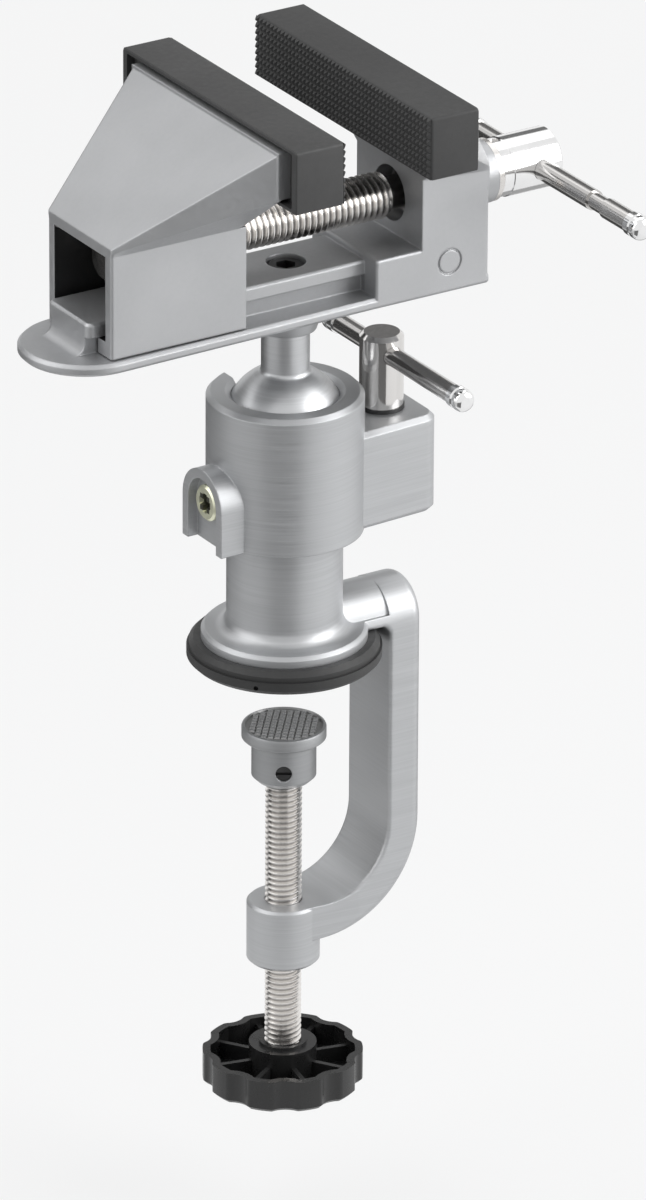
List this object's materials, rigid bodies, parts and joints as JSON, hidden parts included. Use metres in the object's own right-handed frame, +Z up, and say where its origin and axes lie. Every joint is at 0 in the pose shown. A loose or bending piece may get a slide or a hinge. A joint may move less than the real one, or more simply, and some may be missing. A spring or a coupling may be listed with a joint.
{
  "type": "clamp-on ball-joint bench vise",
  "caption": "Small bench vise on a lockable ball joint, held to a table edge by its own screw clamp; the jaws have rubber covers and a T-handle screw.",
  "frame": {"origin": "centre of the rubber ring's underside, where the vise sits on the table", "axes": "+Z up the column; +X along the vise screw towards its handle; +Y towards the side where the socket's tilting slot opens"},
  "size_m": [0.1299, 0.081, 0.235],
  "materials": {
    "cast_grey": "satin",
    "turned_steel": "turned",
    "plated_steel": "bright zinc",
    "chrome": "polished",
    "jaw_rubber": "matt",
    "ring_rubber": "matt",
    "knob_plastic": "semi-gloss",
    "brass": "turned",
    "seat_plastic": "matt",
    "black_steel": "blacked"
  },
  "bodies": {
    "frame": {"clamp_frame": "cast_grey", "table_ring": "ring_rubber", "ball_seat": "seat_plastic"},
    "pad": {"pressure_pad": "cast_grey", "pad_grub_screw": "black_steel"},
    "clamp_screw": {"clamp_screw": "plated_steel", "clamp_knob": "knob_plastic"},
    "socket": {"ball_socket": "cast_grey", "column_bush": "seat_plastic", "friction_screw": "plated_steel", "lock_pin": "brass", "post_washer": "black_steel"},
    "lever_post": {"clamp_post": "chrome", "post_clip": "black_steel"},
    "lever_bar": {"clamp_bar": "chrome", "clamp_bar_caps": "chrome"},
    "stud": {"ball_stud": "turned_steel", "stud_bolt": "black_steel", "stud_washer": "plated_steel"},
    "vise": {"vise_body": "cast_grey", "fixed_jaw_cover": "jaw_rubber", "thrust_washer": "plated_steel"},
    "slide": {"moving_jaw": "cast_grey", "moving_jaw_cover": "jaw_rubber", "jaw_nut": "brass"},
    "vise_screw": {"lead_screw": "plated_steel", "screw_head": "chrome", "head_pin": "plated_steel"},
    "handle": {"screw_bar": "chrome", "screw_bar_caps": "chrome"}
  },
  "joints": [
    {"name": "pad_slide", "type": "slide", "parent": "frame", "child": "pad", "axis": [0, 0, 1], "range_m": [-0.027, 0.0159]},
    {"name": "clamp_screw_turn", "type": "hinge", "parent": "pad", "child": "clamp_screw", "pos_m": [0, 0, -0.06], "axis": [0, 0, 1], "range_deg": [-7777, 4581]},
    {"name": "socket_swivel", "type": "hinge", "parent": "frame", "child": "socket", "pos_m": [0, 0, 0.04], "axis": [0, 0, 1], "continuous": true},
    {"name": "lever_turn", "type": "hinge", "parent": "socket", "child": "lever_post", "pos_m": [0.0242, 0, 0.05], "axis": [0, 0, 1], "range_deg": [0, 60]},
    {"name": "lever_bar_slide", "type": "slide", "parent": "lever_post", "child": "lever_bar", "axis": [0, 1, 0], "range_m": [-0.0116, 0.0241]},
    {"name": "ball_tilt", "type": "hinge", "parent": "socket", "child": "stud", "pos_m": [0, 0, 0.0549], "axis": [-1, 0, 0], "range_deg": [-30, 90]},
    {"name": "head_spin", "type": "hinge", "parent": "stud", "child": "vise", "pos_m": [0, 0, 0.08], "axis": [0, 0, 1], "continuous": true},
    {"name": "jaw_slide", "type": "slide", "parent": "vise", "child": "slide", "axis": [1, 0, 0], "range_m": [-0.02, 0.0199]},
    {"name": "vise_screw_turn", "type": "hinge", "parent": "vise", "child": "vise_screw", "pos_m": [0, 0, 0.1022], "axis": [1, 0, 0], "range_deg": [-4777, 4801]},
    {"name": "handle_slide", "type": "slide", "parent": "vise_screw", "child": "handle", "axis": [0, 1, 0], "range_m": [-0.0123, 0.0343]}
  ],
  "couplings": [
    {"joint": "clamp_screw_turn", "follows": "pad_slide", "rad_per_m": 5026.5},
    {"joint": "vise_screw_turn", "follows": "jaw_slide", "rad_per_m": -4188.8}
  ]
}
